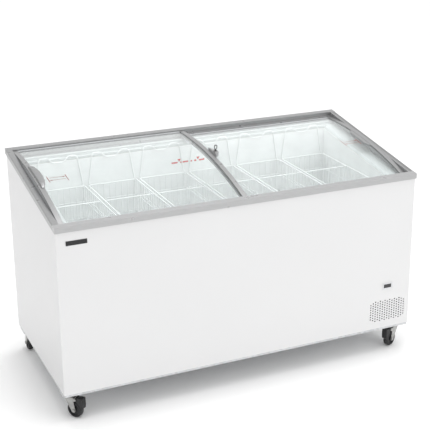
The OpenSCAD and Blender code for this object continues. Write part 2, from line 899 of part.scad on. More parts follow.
// Flat grid with upright slots, n bars across a width, from z0 to z1
module grid_outline(width, z0, z1, pitch) {
  n = round((width - wire) / pitch);
  step = (width - wire) / n;
  difference() {
    translate([0, z0]) square([width, z1 - z0]);
    for (i = [0 : n - 1])
      translate([wire + i * step, z0 + wire]) square([step - wire, z1 - z0 - 2 * wire]);
  }
}

wire_pitch = 26;
loop_low_x = 96;
loop_high_x = 78;

// One half of the back loop: a slanted upright
module loop_leg(side) {
  along_y(liner_y1 - 6, liner_y1 - 2) polygon([
    [side * loop_low_x, basket_rim + slab_gap], [side * (loop_low_x + wire), basket_rim + slab_gap],
    [side * (loop_high_x + wire), loop_top], [side * loop_high_x, loop_top]
  ]);
}

module basket(index) {
  cx = (index - (basket_count + 1) / 2) * basket_pitch;
  half = basket_w / 2;
  z1 = basket_rim;
  inner_y0 = basket_y0 + wire + slab_gap;
  inner_y1 = basket_y1 - wire - slab_gap;
  inner_w = basket_w - 2 * (wire + slab_gap);
  depth = inner_y1 - inner_y0;
  hook_x = 60;
  hook_w = 12;
  hook_t = 3;
  hook_drop = 30;
  hook_y = basket_y0 - slab_gap;
  hook_z = ledge_front + gap;
  color([0.95, 0.95, 0.95]) translate([cx, 0, 0]) {
    // front and back grids
    for (y = [basket_y0, basket_y1 - wire])
      along_y(y, y + wire) translate([-half, 0]) grid_outline(basket_w, basket_floor, z1, wire_pitch);
    // side grids
    for (x = [-half, half - wire])
      along_x(x, x + wire) translate([inner_y0, 0]) grid_outline(depth, basket_floor, z1, wire_pitch);
    // floor grid
    translate([-inner_w / 2, inner_y0, basket_floor]) linear_extrude(wire)
      grid_outline(inner_w, 0, depth, wire_pitch);
    // cross divider
    along_y(divider_y, divider_y + wire) translate([-inner_w / 2, 0])
      grid_outline(inner_w, basket_floor + wire + slab_gap, z1, wire_pitch);
    // back hanging loop
    for (side = [-1, 1]) loop_leg(side);
    block([-loop_high_x - wire, liner_y1 - 6, loop_top + slab_gap],
          [loop_high_x + wire, liner_y1 + 4, loop_top + slab_gap + wire]);
    // lower tie between the back grid and the loop
    for (side = [-1, 1])
      block([side * (loop_low_x + wire / 2) - wire / 2, basket_y1 + slab_gap, z1 - wire],
            [side * (loop_low_x + wire / 2) + wire / 2, liner_y1 - 2, z1]);
    // front hooks over the collar ledge
    for (x = [-hook_x, hook_x])
      along_x(x - hook_w / 2, x + hook_w / 2) polygon([
        [hook_y, z1 - hook_drop], [hook_y, hook_z + wire], [liner_y0 - hook_d + 2, hook_z + wire],
        [liner_y0 - hook_d + 2, hook_z], [hook_y - hook_t, hook_z], [hook_y - hook_t, z1 - hook_drop]
      ]);
  }
}
module basket_1() { basket(1); }
module basket_2() { basket(2); }
module basket_3() { basket(3); }
module basket_4() { basket(4); }
module basket_5() { basket(5); }
module basket_6() { basket(6); }

// ---------- castors ----------

// Bolted plate with its kingpin, which stands pin_x from the plate's middle
module castor_plate(pin_x) {
  plate_l = 98;
  plate_w = 60;
  bolt_inset = 9;
  bolt_h = 3;
  bolt_r = 5;
  pin_l = 12;
  union() {
    translate([-plate_l / 2, -plate_w / 2, castor_h]) cube([plate_l, plate_w, plate_t]);
    translate([pin_x, 0, castor_h - pin_l]) cylinder(h = pin_l + 1, r = kingpin_r, $fn = 48);
    for (x = [-1, 1] * (plate_l / 2 - bolt_inset), y = [-1, 1] * (plate_w / 2 - bolt_inset))
      translate([x, y, castor_h - bolt_h]) cylinder(h = bolt_h + 1, r = bolt_r, $fn = 6);
  }
}

// Four plates under the base rails, each reaching further inwards than its kingpin
module castor_plates() {
  plate_x = bx - 51;
  color(silver) for (s = [-1, 1], y = [castor_front_y, castor_back_y])
    translate([s * plate_x, y, 0]) castor_plate(s * (castor_x - plate_x));
}

// Fork with its axle bolt, trailing towards +X, about the kingpin axis
module castor_fork(braked) {
  head_r = 19;
  head_z0 = 78;
  head_z1 = castor_h - 4;
  leg_t = 2.5;
  leg_in = wheel_w / 2 + 2;
  leg_out = leg_in + leg_t;
  eye_r = 9;
  ear_r = 5;
  race_h = 10;
  crown_t = 6.2;
  color([0.72, 0.72, 0.7]) union() {
    difference() {
      union() {
        translate([0, 0, head_z1 - race_h]) cylinder(h = race_h, r = head_r, $fn = 64);
        translate([-head_r + 3, -leg_out, head_z0])
          cube([head_r + castor_trail - 4, 2 * leg_out, crown_t]);
        for (y = [-leg_out, leg_in]) along_y(y, y + leg_t) union() {
          polygon([
            [-head_r + 3, head_z0 + 3], [castor_trail - 1, head_z0 + 3],
            [castor_trail + eye_r - 1.5, axle_z + 4], [castor_trail - eye_r + 1.5, axle_z - 4]
          ]);
          translate([castor_trail, axle_z]) circle(eye_r, $fn = 48);
          if (braked) {
            translate([pedal_pin_x, pedal_pin_z]) circle(ear_r, $fn = 48);
            polygon([
              [castor_trail - 6, head_z0 + 6], [pedal_pin_x + 2, pedal_pin_z + 4.6],
              [pedal_pin_x, pedal_pin_z - 5], [castor_trail - 6, pedal_pin_z - 12]
            ]);
          }
        }
      }
      cylinder(h = castor_h + 5, r = kingpin_r + running, $fn = 48);
      translate([castor_trail, leg_out + 1, axle_z]) rotate([90, 0, 0])
        cylinder(h = 2 * leg_out + 2, r = axle_r + 0.1, $fn = 48);
    }
  }
  if (braked)
    translate([pedal_pin_x, leg_out, pedal_pin_z]) rotate([90, 0, 0])
      cylinder(h = 2 * leg_out, r = pedal_pin_r, $fn = 48);
  nut_h = 3;
  nut_r = 7;
  color([0.6, 0.6, 0.6]) translate([castor_trail, 0, axle_z]) rotate([90, 0, 0]) union() {
    translate([0, 0, -leg_out - 0.6]) cylinder(h = 2 * (leg_out + 0.6), r = axle_r, $fn = 48);
    translate([0, 0, leg_out + joint]) cylinder(h = nut_h, r = nut_r, $fn = 6);
    translate([0, 0, -leg_out - joint - nut_h]) cylinder(h = nut_h, r = nut_r, $fn = 48);
  }
}

module castor_wheel() {
  r = wheel_d / 2;
  half_w = wheel_w / 2;
  hub_r = 9;
  disc_r = 22;
  recess = 4;
  color([0.1, 0.1, 0.1]) translate([castor_trail, 0, axle_z]) rotate([90, 0, 0])
    rotate_extrude($fn = 96) polygon([
      [axle_r + running, -half_w - 1], [hub_r, -half_w - 1], [hub_r, -half_w + recess],
      [disc_r, -half_w + recess], [disc_r + 1, -half_w], [r - 4, -half_w], [r - 1, -half_w + 3],
      [r, -half_w + 7], [r, half_w - 7], [r - 1, half_w - 3], [r - 4, half_w], [disc_r + 1, half_w],
      [disc_r, half_w - recess], [hub_r, half_w - recess], [hub_r, half_w + 1],
      [axle_r + running, half_w + 1]
    ]);
}

// Foot pedal hinged between the fork's ears, wrapped over the trailing side of the tread
module brake_pedal() {
  half_w = wheel_w / 2 + 1;
  barrel_r = 5;
  tread_room = 0.8;
  x = pedal_pin_x;
  z = pedal_pin_z;
  color([0.08, 0.08, 0.08]) difference() {
    union() {
      translate([x, half_w, z]) rotate([90, 0, 0])
        cylinder(h = 2 * half_w, r = barrel_r, $fn = 48);
      along_y(-half_w, half_w) polygon([
        [x + 1, z - 4], [x + 1, z + 4.5], [x + 14, z + 8], [x + 31, z + 9], [x + 32.5, z - 16],
        [x + 31, z - 32], [x + 27, z - 37], [x + 22, z - 34]
      ]);
    }
    translate([castor_trail, half_w + 1, axle_z]) rotate([90, 0, 0])
      cylinder(h = 2 * half_w + 2, r = wheel_d / 2 + tread_room, $fn = 96);
    translate([x, half_w + 1, z]) rotate([90, 0, 0])
      cylinder(h = 2 * half_w + 2, r = pedal_pin_r + running, $fn = 48);
  }
}

// Children placed as one of the four castors, turned to where its wheel trails
module at_castor(sx, y, turn) {
  translate([sx * castor_x, y, 0]) rotate([0, 0, turn]) children();
}
module castor_fork_fl() { at_castor(-1, castor_front_y, turn_fl) castor_fork(true); }
module castor_fork_fr() { at_castor(1, castor_front_y, turn_fr) castor_fork(true); }
module castor_fork_bl() { at_castor(-1, castor_back_y, turn_back) castor_fork(false); }
module castor_fork_br() { at_castor(1, castor_back_y, turn_back) castor_fork(false); }
module castor_wheel_fl() { at_castor(-1, castor_front_y, turn_fl) castor_wheel(); }
module castor_wheel_fr() { at_castor(1, castor_front_y, turn_fr) castor_wheel(); }
module castor_wheel_bl() { at_castor(-1, castor_back_y, turn_back) castor_wheel(); }
module castor_wheel_br() { at_castor(1, castor_back_y, turn_back) castor_wheel(); }
module brake_pedal_fl() { at_castor(-1, castor_front_y, turn_fl) brake_pedal(); }
module brake_pedal_fr() { at_castor(1, castor_front_y, turn_fr) brake_pedal(); }

front_panel();
left_side_panel();
right_side_panel();
back_panel();
base_pan();
inner_liner();
insulation_foam();
frame_front_rail();
frame_back_rail();
frame_left_cheek();
frame_right_cheek();
breaker_collar();
badge_plate();
display_bezel();
display_window();
controller_box();
rear_grille();
compressor();
compressor_feet();
condenser_coil();
fan_motor();
fan_blades();
filter_drier();
evaporator_tube();
refrigerant_pipes();
drain_plug();
drain_spout();
terminal_box();
cover_screws();
castor_plates();
upper_lid_glass();
upper_lid_left_bar();
upper_lid_right_bar();
upper_lid_handle();
upper_lid_runners();
lock_housing();
lock_barrel();
lock_key();
lower_lid_glass();
lower_lid_left_bar();
lower_lid_right_bar();
lower_lid_handle();
lower_lid_runners();
lock_keeper();
basket_1();
basket_2();
basket_3();
basket_4();
basket_5();
basket_6();
castor_fork_fl();
castor_fork_fr();
castor_fork_bl();
castor_fork_br();
castor_wheel_fl();
castor_wheel_fr();
castor_wheel_bl();
castor_wheel_br();
brake_pedal_fl();
brake_pedal_fr();
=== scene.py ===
"""Looks for the sloped glass-top chest freezer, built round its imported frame. Metres."""

import math

import bmesh
import bpy
from mathutils import Matrix, Vector


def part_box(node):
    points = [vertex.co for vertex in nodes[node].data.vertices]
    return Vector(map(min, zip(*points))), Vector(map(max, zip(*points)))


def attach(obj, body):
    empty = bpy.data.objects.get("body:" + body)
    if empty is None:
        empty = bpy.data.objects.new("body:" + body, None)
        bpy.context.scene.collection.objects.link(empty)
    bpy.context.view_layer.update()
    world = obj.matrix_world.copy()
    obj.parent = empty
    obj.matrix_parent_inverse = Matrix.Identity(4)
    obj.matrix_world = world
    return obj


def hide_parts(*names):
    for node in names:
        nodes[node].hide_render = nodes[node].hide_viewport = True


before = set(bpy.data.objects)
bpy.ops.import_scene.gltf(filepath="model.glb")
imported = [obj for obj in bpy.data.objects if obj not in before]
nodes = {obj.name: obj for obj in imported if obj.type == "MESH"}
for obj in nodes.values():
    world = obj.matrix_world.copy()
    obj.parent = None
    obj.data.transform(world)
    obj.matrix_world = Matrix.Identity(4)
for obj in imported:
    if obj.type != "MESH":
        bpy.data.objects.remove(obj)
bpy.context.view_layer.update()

# ---------- shared dimensions, as in the CAD source ----------

LIP_H = 0.021
FRONT_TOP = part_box("front_panel")[1].z + LIP_H
BACK_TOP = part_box("frame_back_rail")[1].z
FRAME_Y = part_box("frame_front_rail")[0].y
SLOPE = math.atan2(BACK_TOP - FRONT_TOP, -2 * FRAME_Y)
SLOPE_LEN = math.hypot(BACK_TOP - FRONT_TOP, 2 * FRAME_Y)
MID_V = SLOPE_LEN / 2
UPPER_R = 1.830
LOWER_R = 1.816
GLASS_T = 0.004
GLASS_RISE = 0.020
BAR_OVER = 0.004
BAR_UNDER = 0.0015
BAR_W = 0.020
BASKETS = 6
LINER_BACK = 0.278


def slope_matrix():
    """Frame of the sloped top: x across, v back along the slope, w up from it."""
    return Matrix.Translation((0, FRAME_Y, FRONT_TOP)) @ Matrix.Rotation(SLOPE, 4, "X")


def on_arc(x, v, r):
    """Point on the lid arc at slope distance v and radius r."""
    turn = math.asin((v - MID_V) / r)
    centre = slope_matrix() @ Matrix.Translation((0, MID_V, GLASS_RISE - UPPER_R))
    return centre @ Matrix.Rotation(-turn, 4, "X") @ Vector((x, 0, r))


# ---------- mesh helpers ----------


def to_object(bm, name, material, body, smooth_angle):
    """A finished piece from bm, smooth where its faces meet gently, riding on body."""
    bmesh.ops.recalc_face_normals(bm, faces=bm.faces)
    mesh = bpy.data.meshes.new(name)
    bm.to_mesh(mesh)
    bm.free()
    mesh.shade_smooth()
    mesh.set_sharp_from_angle(angle=math.radians(smooth_angle))
    mesh.materials.append(material)
    obj = bpy.data.objects.new(name, mesh)
    bpy.context.scene.collection.objects.link(obj)
    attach(obj, body)
    return obj


def rounded(points, radius, steps=4, closed=False):
    """The points with each corner turned into a short curve."""
    points = [Vector(p) for p in points]
    made = []
    for i, point in enumerate(points):
        if not closed and i in (0, len(points) - 1):
            made.append(point)
            continue
        before = points[i - 1] - point
        after = points[(i + 1) % len(points)] - point
        reach = min(radius, before.length / 2.1, after.length / 2.1)
        start = point + before.normalized() * reach
        end = point + after.normalized() * reach
        for k in range(steps + 1):
            t = k / steps
            made.append(start * (1 - t) ** 2 + point * 2 * t * (1 - t) + end * t**2)
    return made


def sweep(bm, path, radius, sides=8, closed=False):
    """A round wire along the path."""
    count = len(path)
    rings = []
    normal = None
    for i, point in enumerate(path):
        before = path[i - 1] if closed or i else point
        after = path[(i + 1) % count] if closed or i < count - 1 else point
        along = (after - before).normalized()
        normal = normal or along.orthogonal()
        normal = (normal - along * normal.dot(along)).normalized()
        side = along.cross(normal)
        ring = []
        for k in range(sides):
            turn = 2 * math.pi * k / sides
            offset = normal * math.cos(turn) + side * math.sin(turn)
            ring.append(bm.verts.new(point + offset * radius))
        rings.append(ring)
    for i in range(count if closed else count - 1):
        a, b = rings[i], rings[(i + 1) % count]
        for k in range(sides):
            m = (k + 1) % sides
            bm.faces.new((a[k], a[m], b[m], b[k]))
    if not closed:
        bm.faces.new(rings[0])
        bm.faces.new(rings[-1])


def loft(bm, rings):
    """A closed solid through equal rings of points."""
    made = [[bm.verts.new(p) for p in ring] for ring in rings]
    for a, b in zip(made, made[1:]):
        for k in range(len(a)):
            m = (k + 1) % len(a)
            bm.faces.new((a[k], a[m], b[m], b[k]))
    bm.faces.new(made[0])
    bm.faces.new(made[-1])


WELD_GAP = 0.00001
EDGE_ANGLE = math.radians(35)
WIDE_EDGE = 0.003


def soften(name, width):
    """A small rounded edge on a CAD node, as sheet metal and mouldings have."""
    obj = nodes[name]
    normals = obj.data.attributes.get("custom_normal")
    if normals:
        obj.data.attributes.remove(normals)
    obj.data.shade_smooth()
    weld = obj.modifiers.new("join", "WELD")
    weld.merge_threshold = WELD_GAP
    bevel = obj.modifiers.new("edge", "BEVEL")
    bevel.width = width
    bevel.segments = 4 if width > WIDE_EDGE else 2
    bevel.limit_method = "ANGLE"
    bevel.angle_limit = EDGE_ANGLE
    bevel.harden_normals = True


# ---------- materials ----------


NOISE_LOW = 0.3
NOISE_HIGH = 0.7


class Look:
    """One procedural material with the node shortcuts that the finishes share."""

    def __init__(self, name):
        self.material = bpy.data.materials.new(name)
        self.material.use_nodes = True
        self.tree = self.material.node_tree
        self.tree.nodes.clear()
        self.output = self.node("ShaderNodeOutputMaterial")
        self.bsdf = self.node("ShaderNodeBsdfPrincipled")
        self.link(self.bsdf.outputs[0], self.output.inputs["Surface"])
        self.coords = self.node("ShaderNodeTexCoord").outputs["Object"]

    def node(self, kind):
        return self.tree.nodes.new(kind)

    def link(self, source, target):
        self.tree.links.new(source, target)

    def stretched(self, scale):
        """Object coordinates scaled by axis, for grain that runs one way."""
        mapping = self.node("ShaderNodeMapping")
        mapping.inputs["Scale"].default_value = scale
        self.link(self.coords, mapping.inputs["Vector"])
        return mapping.outputs[0]

    def noise(self, scale, detail=3.0, coords=None):
        noise = self.node("ShaderNodeTexNoise")
        noise.inputs["Scale"].default_value = scale
        noise.inputs["Detail"].default_value = detail
        self.link(coords or self.coords, noise.inputs["Vector"])
        return noise.outputs[0]

    def cells(self, scale, output="Distance"):
        cells = self.node("ShaderNodeTexVoronoi")
        cells.inputs["Scale"].default_value = scale
        self.link(self.coords, cells.inputs["Vector"])
        return cells.outputs[output]

    def spread(self, value, low, high):
        """The value's middle range stretched to run from low to high."""
        ranged = self.node("ShaderNodeMapRange")
        ranged.inputs["From Min"].default_value = NOISE_LOW
        ranged.inputs["From Max"].default_value = NOISE_HIGH
        ranged.inputs["To Min"].default_value = low
        ranged.inputs["To Max"].default_value = high
        self.link(value, ranged.inputs["Value"])
        return ranged.outputs[0]

    def colour(self, value, low, high, start=NOISE_LOW, end=NOISE_HIGH):
        """Base colour between two tones, driven by value."""
        ramp = self.node("ShaderNodeValToRGB")
        ramp.color_ramp.elements[0].position = start
        ramp.color_ramp.elements[0].color = (*low, 1)
        ramp.color_ramp.elements[1].position = end
        ramp.color_ramp.elements[1].color = (*high, 1)
        self.link(value, ramp.inputs["Fac"])
        self.link(ramp.outputs[0], self.bsdf.inputs["Base Color"])

    def roughness(self, value, low, high):
        self.link(self.spread(value, low, high), self.bsdf.inputs["Roughness"])

    def bump(self, value, depth, strength=1.0):
        """Relief of the given depth in metres."""
        bump = self.node("ShaderNodeBump")
        bump.inputs["Distance"].default_value = depth
        bump.inputs["Strength"].default_value = strength
        self.link(value, bump.inputs["Height"])
        self.link(bump.outputs[0], self.bsdf.inputs["Normal"])

    def set(self, **sockets):
        for name, value in sockets.items():
            self.bsdf.inputs[name.replace("_", " ")].default_value = value


def shade(tone, change):
    """The tone made darker or lighter in proportion."""
    return tuple(max(0.0, min(1.0, c * (1 + change))) for c in tone)


def painted(name, tone):
    """Powder-coated sheet: soft orange peel and a slightly uneven gloss."""
    look = Look(name)
    look.colour(look.noise(3.0), shade(tone, -0.012), tone)
    look.roughness(look.noise(9.0, 5.0), 0.33, 0.37)
    look.bump(look.noise(520.0, 1.0), 0.00002, 0.15)
    look.set(Coat_Weight=0.15, Coat_Roughness=0.12, Specular_IOR_Level=0.45)
    return look.material


def moulded(name, tone, rough=(0.38, 0.5), grain=1600.0, depth=0.00004):
    """Moulded plastic with a fine spark-eroded grain and slight colour drift."""
    look = Look(name)
    look.colour(look.noise(14.0, 4.0), shade(tone, -0.05), shade(tone, 0.03))
    look.roughness(look.noise(35.0, 4.0), *rough)
    look.bump(look.cells(grain), depth, 0.5)
    look.set(Specular_IOR_Level=0.45)
    return look.material


def metal(name, tone, rough=(0.2, 0.34), run=(900.0, 30.0, 900.0), depth=0.00002):
    """Drawn or brushed metal with fine lines that run one way."""
    look = Look(name)
    lines = look.noise(1.0, 3.0, look.stretched(run))
    look.colour(lines, shade(tone, -0.12), shade(tone, 0.06))
    look.roughness(look.noise(60.0, 4.0), *rough)
    look.bump(lines, depth, 0.35)
    look.set(Metallic=1.0)
    return look.material


def spangled(name, tone):
    """Zinc-coated steel: crystal spangle and dull grey patches."""
    look = Look(name)
    spangle = look.cells(90.0, "Color")
    look.colour(spangle, shade(tone, -0.14), shade(tone, 0.1), 0.1, 0.9)
    look.roughness(look.noise(45.0, 4.0), 0.34, 0.5)
    look.bump(look.noise(300.0, 2.0), 0.00003, 0.4)
    look.set(Metallic=0.85)
    return look.material


def anodised(name, tone):
    """Grey lid frame and bars: satin extrusion with faint lines along its length."""
    look = Look(name)
    lines = look.noise(1.0, 2.0, look.stretched((25.0, 500.0, 500.0)))
    look.colour(lines, shade(tone, -0.05), shade(tone, 0.04))
    look.roughness(look.noise(20.0, 4.0), 0.27, 0.31)
    look.bump(lines, 0.00002, 0.1)
    look.set(Metallic=0.6, Specular_IOR_Level=0.5)
    return look.material


def coated_wire(name, tone):
    """Plastic-dipped wire: thick glossy coat, uneven where it ran."""
    look = Look(name)
    look.colour(look.noise(40.0, 3.0), shade(tone, -0.04), tone)
    look.roughness(look.noise(120.0, 3.0), 0.26, 0.4)
    look.bump(look.noise(260.0, 2.0), 0.00018, 0.4)
    look.set(Coat_Weight=0.2, Coat_Roughness=0.2)
    return look.material


def rubber(name, tone):
    """Black tyre or pedal rubber, scuffed lighter in patches."""
    look = Look(name)
    look.colour(look.noise(70.0, 6.0), tone, shade(tone, 0.9), 0.45, 0.75)
    look.roughness(look.noise(90.0, 5.0), 0.45, 0.72)
    look.bump(look.noise(900.0, 3.0), 0.00008, 0.6)
    return look.material


def foamed(name, tone):
    """Cut polyurethane foam with open pores."""
    look = Look(name)
    look.colour(look.noise(25.0, 5.0), shade(tone, -0.12), tone)
    look.bump(look.cells(420.0), 0.0006, 0.8)
    look.set(Roughness=0.92)
    return look.material


def window_glass(name, tint):
    """Tempered lid glass: clear with a cool tint, wiped smears in its gloss."""
    look = Look(name)
    clear = look.node("ShaderNodeBsdfTransparent")
    clear.inputs["Color"].default_value = (*tint, 1)
    look.colour(look.noise(5.0), shade(tint, -0.03), tint)
    look.roughness(look.noise(7.0, 6.0, look.stretched((1.0, 3.0, 1.0))), 0.02, 0.09)
    # Share of gloss: a faint film everywhere, rising steeply at grazing angles
    facing = look.node("ShaderNodeLayerWeight")
    facing.inputs["Blend"].default_value = 0.5
    rise = look.node("ShaderNodeMath")
    rise.operation = "POWER"
    look.link(facing.outputs["Facing"], rise.inputs[0])
    rise.inputs[1].default_value = 5.0
    film = look.spread(look.noise(4.0, 5.0), 0.03, 0.055)
    share = look.node("ShaderNodeMath")
    share.operation = "ADD"
    look.link(rise.outputs[0], share.inputs[0])
    look.link(film, share.inputs[1])
    mix = look.node("ShaderNodeMixShader")
    look.link(share.outputs[0], mix.inputs[0])
    look.link(clear.outputs[0], mix.inputs[1])
    look.link(look.bsdf.outputs[0], mix.inputs[2])
    look.link(mix.outputs[0], look.output.inputs["Surface"])
    return look.material


def screen(name, tone):
    """Smoked display window over a dark board."""
    look = Look(name)
    look.colour(look.noise(200.0, 2.0), tone, shade(tone, 0.6))
    look.roughness(look.noise(30.0, 3.0), 0.08, 0.16)
    look.set(Coat_Weight=0.5, Coat_Roughness=0.05)
    return look.material


looks = {
    "painted_white": painted("painted_white_look", (0.718, 0.718, 0.720)),
    "galvanised": spangled("galvanised_look", (0.60, 0.61, 0.62)),
    "liner_white": moulded("liner_white_look", (0.95, 0.962, 0.960), (0.3, 0.42), 700.0, 0.00005),
    "foam": foamed("foam_look", (0.82, 0.72, 0.45)),
    "frame_silver": anodised("frame_silver_look", (0.43, 0.432, 0.435)),
    "collar_white": moulded("collar_white_look", (0.62, 0.645, 0.645)),
    "badge_black": moulded("badge_black_look", (0.012, 0.012, 0.013), (0.25, 0.35), 900.0),
    "bezel_grey": moulded("bezel_grey_look", (0.66, 0.67, 0.68), (0.35, 0.45)),
    "window_black": screen("window_black_look", (0.01, 0.01, 0.012)),
    "dark_plastic": moulded("dark_plastic_look", (0.03, 0.03, 0.032)),
    "shell_black": painted("shell_black_look", (0.015, 0.015, 0.016)),
    "rubber_black": rubber("rubber_black_look", (0.02, 0.02, 0.02)),
    "motor_metal": metal("motor_metal_look", (0.5, 0.5, 0.52), (0.3, 0.45)),
    "fan_plastic": moulded("fan_plastic_look", (0.5, 0.51, 0.53)),
    "copper": metal("copper_look", (0.85, 0.46, 0.28), (0.22, 0.38)),
    "lid_glass": window_glass("lid_glass_look", (0.985, 0.998, 0.997)),
    "lid_bar_silver": anodised("lid_bar_silver_look", (0.33, 0.332, 0.335)),
    "runner_grey": moulded("runner_grey_look", (0.42, 0.43, 0.44)),
    "lock_chrome": metal("lock_chrome_look", (0.42, 0.42, 0.41), (0.12, 0.24)),
    "wire_white": coated_wire("wire_white_look", (0.93, 0.94, 0.94)),
    "castor_zinc": spangled("castor_zinc_look", (0.40, 0.40, 0.39)),
    "wheel_black": rubber("wheel_black_look", (0.014, 0.014, 0.015)),
    "pedal_black": moulded("pedal_black_look", (0.012, 0.012, 0.013), (0.4, 0.55), 1100.0),
}
mark_red = moulded("mark_red_look", (0.66, 0.03, 0.02), (0.4, 0.55), 1200.0)
mark_brown = moulded("mark_brown_look", (0.25, 0.05, 0.035), (0.4, 0.55), 1200.0)
# Frame silver made darker: painted shade for the lower light on the back rail and side cheeks
painted_shade_silver = anodised("painted_shade_silver_look", (0.34, 0.342, 0.345))
key_steel = metal("key_steel_look", (0.13, 0.13, 0.13), (0.2, 0.32))

for node in nodes.values():
    for held in node.material_slots:
        held.material = looks[held.material.name]
# Painted shade: the back rail and both side cheeks take the darker copy of the frame silver
for name in ("frame_back_rail", "frame_left_cheek", "frame_right_cheek"):
    nodes[name].material_slots[0].material = painted_shade_silver
nodes["lock_housing"].material_slots[0].material = looks["frame_silver"]
nodes["lock_key"].material_slots[0].material = key_steel

# ---------- small edges on the CAD parts that stay ----------

EDGES = {
    "frame_front_rail": 0.005,
    "frame_back_rail": 0.003,
    "frame_left_cheek": 0.0015,
    "frame_right_cheek": 0.0015,
    "breaker_collar": 0.002,
    "upper_lid_left_bar": 0.0016,
    "upper_lid_right_bar": 0.0016,
    "lower_lid_left_bar": 0.0016,
    "lower_lid_right_bar": 0.0016,
    "lock_housing": 0.0014,
    "lock_key": 0.0004,
    "display_bezel": 0.0008,
    "badge_plate": 0.0004,
    "base_pan": 0.0008,
    "terminal_box": 0.002,
}
for name, width in EDGES.items():
    soften(name, width)
for corner in ("fl", "fr", "bl", "br"):
    soften("castor_fork_" + corner, 0.0005)

# ---------- curved glass ----------


def curved_pane(name, node, radius, half, body):
    """A bent pane with ground edges, smooth along the whole arc."""
    low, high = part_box(node)
    edge, steps = 0.0008, 72
    section = [
        (low.x, radius - GLASS_T + edge),
        (low.x + edge, radius - GLASS_T),
        (high.x - edge, radius - GLASS_T),
        (high.x, radius - GLASS_T + edge),
        (high.x, radius - edge),
        (high.x - edge, radius),
        (low.x + edge, radius),
        (low.x, radius - edge),
    ]
    bm = bmesh.new()
    rings = []
    for i in range(steps + 1):
        v = MID_V - half + 2 * half * i / steps
        rings.append([on_arc(x, v, r) for x, r in section])
    loft(bm, rings)
    pane = to_object(bm, name, looks["lid_glass"], body, 30)
    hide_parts(node)


UPPER_HALF = MID_V - 0.029
LOWER_HALF = MID_V - 0.041
curved_pane("upper_pane", "upper_lid_glass", UPPER_R, UPPER_HALF, "upper_lid")
curved_pane("lower_pane", "lower_lid_glass", LOWER_R, LOWER_HALF, "lower_lid")

# ---------- end seal ----------


SEAL_T = 0.002
SEAL_FOOT = -0.006
SEAL_LEAST = 0.0005


def end_seal(name, x, radius, half, body):
    """Soft grey strip that closes the space under an arched end bar, down to the frame."""
    steps = 48
    top_r = radius - GLASS_T - BAR_UNDER
    up = slope_matrix().to_3x3() @ Vector((0, 0, 1))
    bm = bmesh.new()
    rings = []
    for i in range(steps + 1):
        v = MID_V - half + 2 * half * i / steps
        top = on_arc(0, v, top_r)
        foot = slope_matrix() @ Vector((0, v, SEAL_FOOT))
        if (top - foot).dot(up) < SEAL_LEAST:
            continue
        rings.append([
            Vector((x, foot.y, foot.z)),
            Vector((x + SEAL_T, foot.y, foot.z)),
            Vector((x + SEAL_T, top.y, top.z)),
            Vector((x, top.y, top.z)),
        ])
    loft(bm, rings)
    to_object(bm, name, looks["runner_grey"], body, 30)


seal_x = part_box("upper_lid_left_bar")[0].x + 0.001
end_seal("upper_end_seal", seal_x, UPPER_R, UPPER_HALF, "upper_lid")

# ---------- grips ----------


def grip(name, node, body, r_base, rise, inner_x, reach_at, v0, v1):
    """A low moulded grip on a lid bar: rounded top, outline given by reach_at."""
    steps, arc = 40, 14
    bm = bmesh.new()
    rings = []
    for i in range(steps + 1):
        t = 0.5 - 0.5 * math.cos(math.pi * i / steps)
        v = v0 + (v1 - v0) * t
        outer_x = reach_at(t)
        middle, half = (inner_x + outer_x) / 2, (outer_x - inner_x) / 2
        height = rise * min(1.0, 0.25 + 1.1 * math.sin(math.pi * t) ** 0.5)
        ring = []
        for k in range(arc + 1):
            turn = math.pi * k / arc
            x = math.copysign(abs(math.cos(turn)) ** 0.45, math.cos(turn))
            ring.append(on_arc(middle + half * x, v, r_base + height * math.sin(turn) ** 0.5))
        rings.append(ring)
    loft(bm, rings)
    piece = to_object(bm, name, looks["lid_bar_silver"], body, 50)
    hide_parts(node)


upper_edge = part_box("upper_lid_left_bar")[0].x + BAR_W
lower_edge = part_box("lower_lid_right_bar")[1].x - BAR_W
REACH = 0.018


def upper_reach(t):
    """D outline: the grip's free edge swells in a curve."""
    return upper_edge - 0.004 + (REACH + 0.003) * math.sin(math.pi * t) ** 0.6


def lower_reach(t):
    """Straight outline with sloped ends."""
    return lower_edge - REACH * min(1.0, min(t, 1 - t) / 0.19)


grip("upper_grip", "upper_lid_handle", "upper_lid",
     r_base=UPPER_R + BAR_OVER + 0.0001, rise=0.0086,
     inner_x=upper_edge - 0.012, reach_at=upper_reach, v0=0.271, v1=0.469)
grip("lower_grip", "lower_lid_handle", "lower_lid",
     r_base=LOWER_R + 0.0002, rise=0.0037,
     inner_x=lower_edge, reach_at=lower_reach, v0=0.285, v1=0.461)

# ---------- wire baskets ----------

RIM_R = 0.0024
BAND_R = 0.0018
THIN_R = 0.0015
LOOP_R = 0.0022
MESH_PITCH = 0.026
RIM_Z = 0.7064
FLOOR_Z = 0.4925
SIDE_X = 0.1034
FRONT_Y = -0.2684
BACK_Y = 0.2634
DIVIDER_Y = 0.0532
BAND_Z = (0.640, 0.568)
DIVIDER_LOW_Z = 0.604
HOOK_X = 0.060
WIRE_INSET = 0.0012
DIVIDER_SHIFT = 0.004


def evenly(low, high, pitch):
    """Wire places between two faces at about the pitch, with half a space at each end."""
    count = round((high - low) / pitch)
    return [low + (high - low) * (i + 0.5) / count for i in range(count)]


def u_wire(bm, a, b, z_low, z_top):
    """A wire down one wall, across the floor and up the other."""
    corners = [(*a, z_top), (*a, z_low), (*b, z_low), (*b, z_top)]
    sweep(bm, rounded(corners, 0.009), THIN_R, 6)


